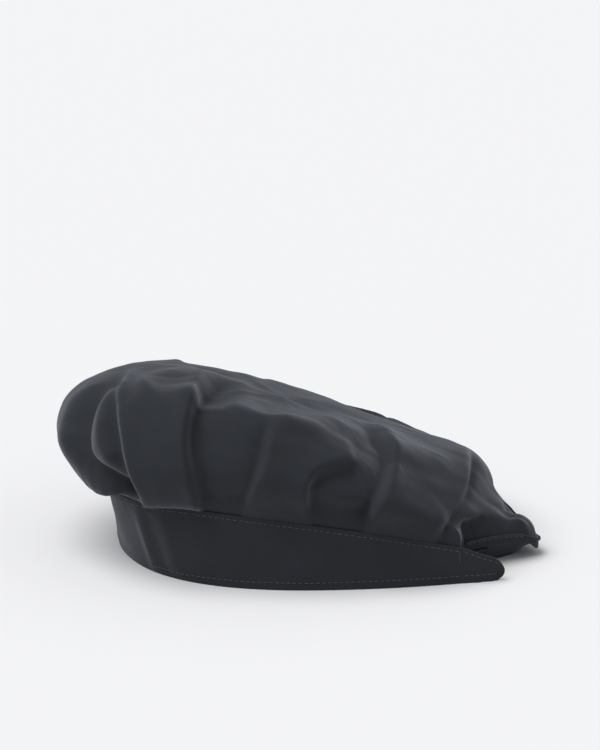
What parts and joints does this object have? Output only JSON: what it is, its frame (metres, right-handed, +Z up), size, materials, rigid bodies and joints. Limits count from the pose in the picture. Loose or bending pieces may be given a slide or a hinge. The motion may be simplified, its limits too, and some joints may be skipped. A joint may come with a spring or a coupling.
{
  "type": "chef toque",
  "caption": "Low, soft chef toque: a box-pleated cloth crown slumped over a topstitched band that narrows to a hook-and-loop tab at the back.",
  "frame": {"origin": "middle of the whole hat's footprint, on the surface it rests on", "axes": "+Z up, +X to the back closure, -X to the front of the hat"},
  "size_m": [0.251, 0.1703, 0.1018],
  "materials": {
    "twill": "matte charcoal polycotton twill",
    "lining": "matte charcoal polycotton, plain weave",
    "stiffener": "white non-woven interfacing",
    "sweat_cloth": "brushed cotton strip",
    "binding": "folded bias tape",
    "hook": "nylon hook tape",
    "loop": "brushed nylon loop tape",
    "thread": "grey polyester sewing thread"
  },
  "bodies": {
    "hat": {"crown": "twill", "band_outer": "twill", "band_interfacing": "stiffener", "band_facing": "lining", "sweatband": "sweat_cloth", "seam_binding": "binding", "opening_binding": "binding", "loop_tape": "loop", "top_stitching": "thread", "hem_stitching": "thread", "loop_stitching": "thread", "bar_tacks": "thread"},
    "tab": {"tab_outer": "twill", "tab_facing": "lining", "hook_tape": "hook", "tab_stitching": "thread"}
  },
  "joints": [
    {"name": "tab_swing", "type": "hinge", "parent": "hat", "child": "tab", "pos_m": [0.08303, -0.06895, 0.0095], "axis": [0, 0, 1], "range_deg": [0, 35]}
  ]
}
